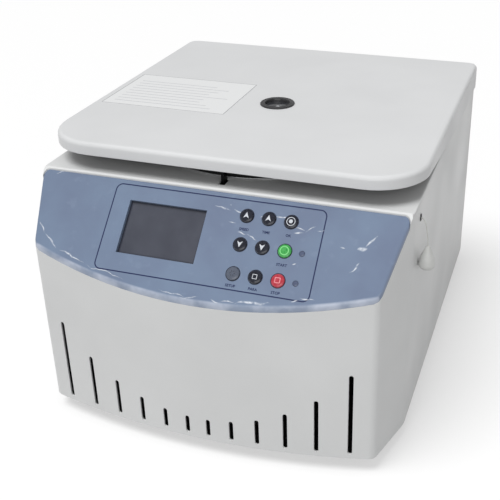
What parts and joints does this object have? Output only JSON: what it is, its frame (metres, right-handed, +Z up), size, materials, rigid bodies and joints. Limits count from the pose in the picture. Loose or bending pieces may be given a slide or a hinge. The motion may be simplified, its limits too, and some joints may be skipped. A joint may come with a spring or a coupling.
{
  "type": "benchtop centrifuge",
  "caption": "Benchtop laboratory centrifuge: tilted control panel, hinged lid with a window, lidded chamber with swing-out buckets, side emergency release pull",
  "frame": {"origin": "middle of the casing's plan, at the height of the bench", "axes": "+X to the user's right, +Y to the back, +Z up"},
  "size_m": [0.453, 0.5346, 0.3243],
  "materials": {
    "painted_steel": "smooth light grey-white enamel",
    "lid_plastic": "moulded off-white plastic with a soft sheen",
    "fascia_plastic": "blue-grey plastic under a clear film",
    "black_plastic": "black moulded plastic",
    "button_plastic": "dark domed caps, one green, one red, one grey",
    "display_glass": "clear lens over a dark display",
    "board": "green circuit board",
    "steel": "plain and brushed steel",
    "aluminium": "anodised aluminium",
    "rubber": "black rubber",
    "pull_plastic": "pale plastic pull on a thin nylon cord"
  },
  "bodies": {
    "root": {"housing": "painted_steel", "rear_panel": "painted_steel", "control_panel": "fascia_plastic", "display_module": "black_plastic", "lock_body": "black_plastic", "power_inlet": "black_plastic", "switch_frame": "black_plastic", "fan_frame": "black_plastic", "indicator_mode": "button_plastic", "indicator_run": "button_plastic", "display_window": "display_glass", "control_board": "board", "power_board": "board", "chamber_bowl": "steel", "hinge_bracket_left": "steel", "hinge_bracket_right": "steel", "hinge_pin_left": "steel", "hinge_pin_right": "steel", "lock_solenoid": "steel", "motor_plate": "steel", "base_plate": "steel", "chamber_guard": "steel", "motor": "steel", "foot_front_left": "rubber", "foot_front_right": "rubber", "foot_rear_left": "rubber", "foot_rear_right": "rubber", "shaft_boot": "rubber", "damper_1": "rubber", "damper_2": "rubber", "damper_3": "rubber", "release_cord": "pull_plastic", "release_pull": "pull_plastic"},
    "lid": {"lid_shell": "lid_plastic", "lid_liner": "steel", "lid_seal": "rubber", "window_bezel": "black_plastic", "lid_window": "display_glass", "hinge_arm_left": "steel", "hinge_arm_right": "steel", "lid_striker": "steel"},
    "rotor": {"rotor_yoke": "aluminium", "rotor_nut": "steel", "drive_shaft": "steel"},
    "lock_bolt": {"lock_bolt": "steel"},
    "switch_rocker": {"switch_rocker": "black_plastic"},
    "fan_impeller": {"fan_impeller": "black_plastic"},
    "bucket_1": {"bucket_1": "aluminium"},
    "bucket_2": {"bucket_2": "aluminium"},
    "bucket_3": {"bucket_3": "aluminium"},
    "bucket_4": {"bucket_4": "aluminium"},
    "button_speed_up": {"button_speed_up": "button_plastic"},
    "button_time_up": {"button_time_up": "button_plastic"},
    "button_ok": {"button_ok": "button_plastic"},
    "button_speed_down": {"button_speed_down": "button_plastic"},
    "button_time_down": {"button_time_down": "button_plastic"},
    "button_start": {"button_start": "button_plastic"},
    "button_setup": {"button_setup": "button_plastic"},
    "button_parameter": {"button_parameter": "button_plastic"},
    "button_stop": {"button_stop": "button_plastic"}
  },
  "joints": [
    {"name": "lid_hinge", "type": "hinge", "parent": "root", "child": "lid", "pos_m": [0, 0.2443, 0.306], "axis": [-1, 0, 0], "range_deg": [0, 75]},
    {"name": "rotor_spin", "type": "hinge", "parent": "root", "child": "rotor", "pos_m": [0, 0.0064, 0.24], "axis": [0, 0, 1], "continuous": true},
    {"name": "bucket_1_swing", "type": "hinge", "parent": "rotor", "child": "bucket_1", "pos_m": [0.062, 0.0064, 0.243], "axis": [0, -1, 0], "range_deg": [0, 90]},
    {"name": "bucket_2_swing", "type": "hinge", "parent": "rotor", "child": "bucket_2", "pos_m": [0, 0.0684, 0.243], "axis": [1, 0, 0], "range_deg": [0, 90]},
    {"name": "bucket_3_swing", "type": "hinge", "parent": "rotor", "child": "bucket_3", "pos_m": [-0.062, 0.0064, 0.243], "axis": [0, 1, 0], "range_deg": [0, 90]},
    {"name": "bucket_4_swing", "type": "hinge", "parent": "rotor", "child": "bucket_4", "pos_m": [0, -0.0556, 0.243], "axis": [-1, 0, 0], "range_deg": [0, 90]},
    {"name": "button_speed_up_press", "type": "slide", "parent": "root", "child": "button_speed_up", "axis": [0, 0.7009, -0.7133], "range_m": [0, 0.001], "stiffness_N_per_m": 400, "springref_m": -0.0005},
    {"name": "button_time_up_press", "type": "slide", "parent": "root", "child": "button_time_up", "axis": [0, 0.7009, -0.7133], "range_m": [0, 0.001], "stiffness_N_per_m": 400, "springref_m": -0.0005},
    {"name": "button_ok_press", "type": "slide", "parent": "root", "child": "button_ok", "axis": [0, 0.7009, -0.7133], "range_m": [0, 0.001], "stiffness_N_per_m": 400, "springref_m": -0.0005},
    {"name": "button_speed_down_press", "type": "slide", "parent": "root", "child": "button_speed_down", "axis": [0, 0.7009, -0.7133], "range_m": [0, 0.001], "stiffness_N_per_m": 400, "springref_m": -0.0005},
    {"name": "button_time_down_press", "type": "slide", "parent": "root", "child": "button_time_down", "axis": [0, 0.7009, -0.7133], "range_m": [0, 0.001], "stiffness_N_per_m": 400, "springref_m": -0.0005},
    {"name": "button_start_press", "type": "slide", "parent": "root", "child": "button_start", "axis": [0, 0.7009, -0.7133], "range_m": [0, 0.001], "stiffness_N_per_m": 400, "springref_m": -0.0005},
    {"name": "button_setup_press", "type": "slide", "parent": "root", "child": "button_setup", "axis": [0, 0.7009, -0.7133], "range_m": [0, 0.001], "stiffness_N_per_m": 400, "springref_m": -0.0005},
    {"name": "button_parameter_press", "type": "slide", "parent": "root", "child": "button_parameter", "axis": [0, 0.7009, -0.7133], "range_m": [0, 0.001], "stiffness_N_per_m": 400, "springref_m": -0.0005},
    {"name": "button_stop_press", "type": "slide", "parent": "root", "child": "button_stop", "axis": [0, 0.7009, -0.7133], "range_m": [0, 0.001], "stiffness_N_per_m": 400, "springref_m": -0.0005},
    {"name": "lock_bolt_slide", "type": "slide", "parent": "root", "child": "lock_bolt", "axis": [-1, 0, 0], "range_m": [0, 0.009]},
    {"name": "switch_rock", "type": "hinge", "parent": "root", "child": "switch_rocker", "pos_m": [-0.115, 0.26205, 0.06], "axis": [1, 0, 0], "range_deg": [0, 16]},
    {"name": "fan_spin", "type": "hinge", "parent": "root", "child": "fan_impeller", "pos_m": [0.12, 0.25, 0.11], "axis": [0, 1, 0], "continuous": true}
  ],
  "couplings": [
    {"joint": "bucket_2_swing", "follows": "bucket_1_swing", "ratio": 1},
    {"joint": "bucket_3_swing", "follows": "bucket_1_swing", "ratio": 1},
    {"joint": "bucket_4_swing", "follows": "bucket_1_swing", "ratio": 1}
  ]
}
